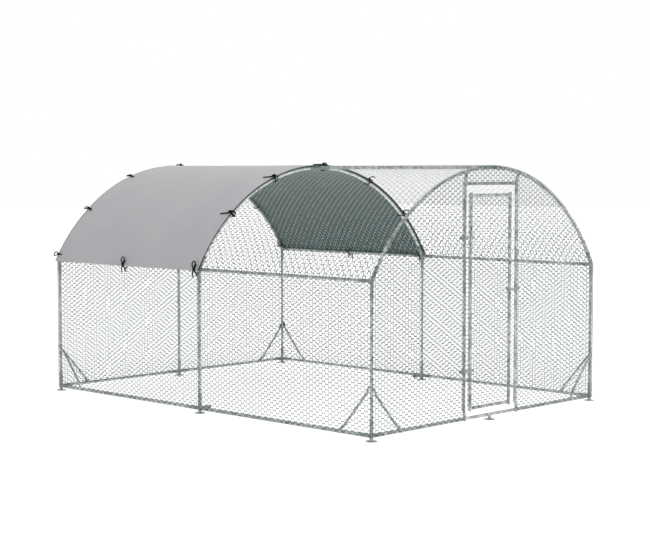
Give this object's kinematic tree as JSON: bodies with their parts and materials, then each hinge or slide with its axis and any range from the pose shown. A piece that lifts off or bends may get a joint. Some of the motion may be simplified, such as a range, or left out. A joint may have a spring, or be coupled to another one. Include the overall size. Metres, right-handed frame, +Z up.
{
  "type": "walk-in chicken coop",
  "caption": "Walk-in metal chicken coop: arched round-tube frame with hexagonal wire netting, a hinged door with a sliding bolt, and a cover tied over the rear half of the roof.",
  "frame": {"origin": "middle of the footprint, on the ground", "axes": "+X across the coop to the right seen from the door, +Y along it from the door to the rear, +Z up"},
  "size_m": [2.8684, 3.8782, 2.0355],
  "materials": {
    "tube_steel": "galvanised",
    "joint_steel": "dull grey",
    "fasteners": "zinc plated",
    "door_hardware": "zinc plated",
    "net_wire": "galvanised wire",
    "cover_cloth": "coated woven cloth",
    "eyelet_metal": "pressed",
    "tie_cord": "braided cord"
  },
  "bodies": {
    "frame": {"arch_front_left": "tube_steel", "arch_front_right": "tube_steel", "arch_middle_left": "tube_steel", "arch_middle_right": "tube_steel", "arch_rear_left": "tube_steel", "arch_rear_right": "tube_steel", "base_corner_joints": "joint_steel", "base_middle_joints": "joint_steel", "base_rail_joiner": "tube_steel", "base_rail_left_front": "tube_steel", "base_rail_left_rear": "tube_steel", "base_rail_right_front": "tube_steel", "base_rail_right_rear": "tube_steel", "base_rails_front": "tube_steel", "base_rails_rear": "tube_steel", "base_rear_joint": "joint_steel", "clamp_bolts_frame": "fasteners", "corner_braces": "tube_steel", "cover_eyelets": "eyelet_metal", "door_header": "tube_steel", "door_post_left": "tube_steel", "door_post_right": "tube_steel", "eave_corner_joints": "joint_steel", "eave_middle_joints": "joint_steel", "eave_rails_left": "tube_steel", "eave_rails_right": "tube_steel", "foot_plates": "joint_steel", "hinge_post_brackets": "door_hardware", "latch_keeper": "door_hardware", "net_front_left": "net_wire", "net_front_right": "net_wire", "net_left_front": "net_wire", "net_left_rear": "net_wire", "net_over_door": "net_wire", "net_rear_left": "net_wire", "net_rear_right": "net_wire", "net_right_front": "net_wire", "net_right_rear": "net_wire", "net_roof_front": "net_wire", "net_roof_rear": "net_wire", "post_front_left": "tube_steel", "post_front_right": "tube_steel", "post_middle_left": "tube_steel", "post_middle_right": "tube_steel", "post_rear_centre": "tube_steel", "post_rear_left": "tube_steel", "post_rear_right": "tube_steel", "ridge_joints": "joint_steel", "ridge_rails": "tube_steel", "roof_cover": "cover_cloth", "sleeve_screws": "fasteners", "tab_bolts": "fasteners", "tie_cords": "tie_cord", "tie_wraps": "tie_cord"},
    "door": {"door_leaf_frame": "tube_steel", "net_door": "net_wire", "hinge_leaf_brackets": "door_hardware", "latch_guide": "door_hardware", "clamp_bolts_door": "fasteners"},
    "latch": {"latch_bolt": "door_hardware"}
  },
  "joints": [
    {"name": "door_hinge", "type": "hinge", "parent": "frame", "child": "door", "pos_m": [-0.288, -1.88, 0.41], "axis": [0, 0, -1], "range_deg": [0, 115]},
    {"name": "latch_slide", "type": "slide", "parent": "door", "child": "latch", "axis": [1, 0, 0], "range_m": [0, 0.036]}
  ]
}
